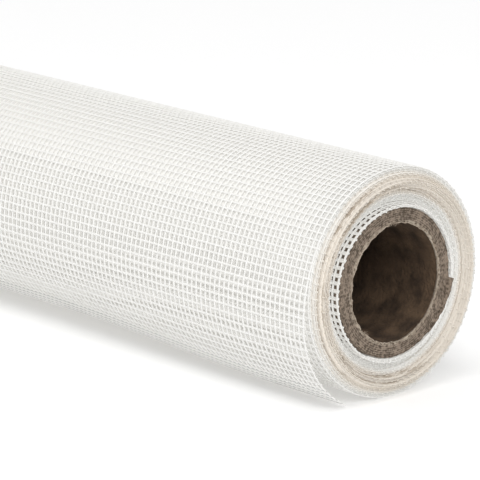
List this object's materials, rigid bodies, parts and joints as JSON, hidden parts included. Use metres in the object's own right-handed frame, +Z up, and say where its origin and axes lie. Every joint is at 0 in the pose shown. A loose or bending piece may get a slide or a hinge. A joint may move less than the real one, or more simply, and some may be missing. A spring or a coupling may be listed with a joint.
{
  "type": "fiberglass insect screen roll",
  "caption": "Wound roll of white woven insect screen on a hollow cardboard core, lying on its side with its free end slightly sprung open.",
  "frame": {"origin": "on the floor, straight under the middle of the core's axis", "axes": "+X along the roll towards the end seen in the picture, +Z up, and the free end of the screen hangs on the -Y side"},
  "size_m": [0.9162, 0.0495, 0.0485],
  "materials": {
    "screen_mesh": "white PVC-coated fiberglass yarn, satin",
    "core_cardboard": "grey-brown spiral-wound cardboard, matte, with rough cut ends"
  },
  "bodies": {
    "root": {"screen_roll": "screen_mesh", "core_tube": "core_cardboard"}
  },
  "joints": []
}
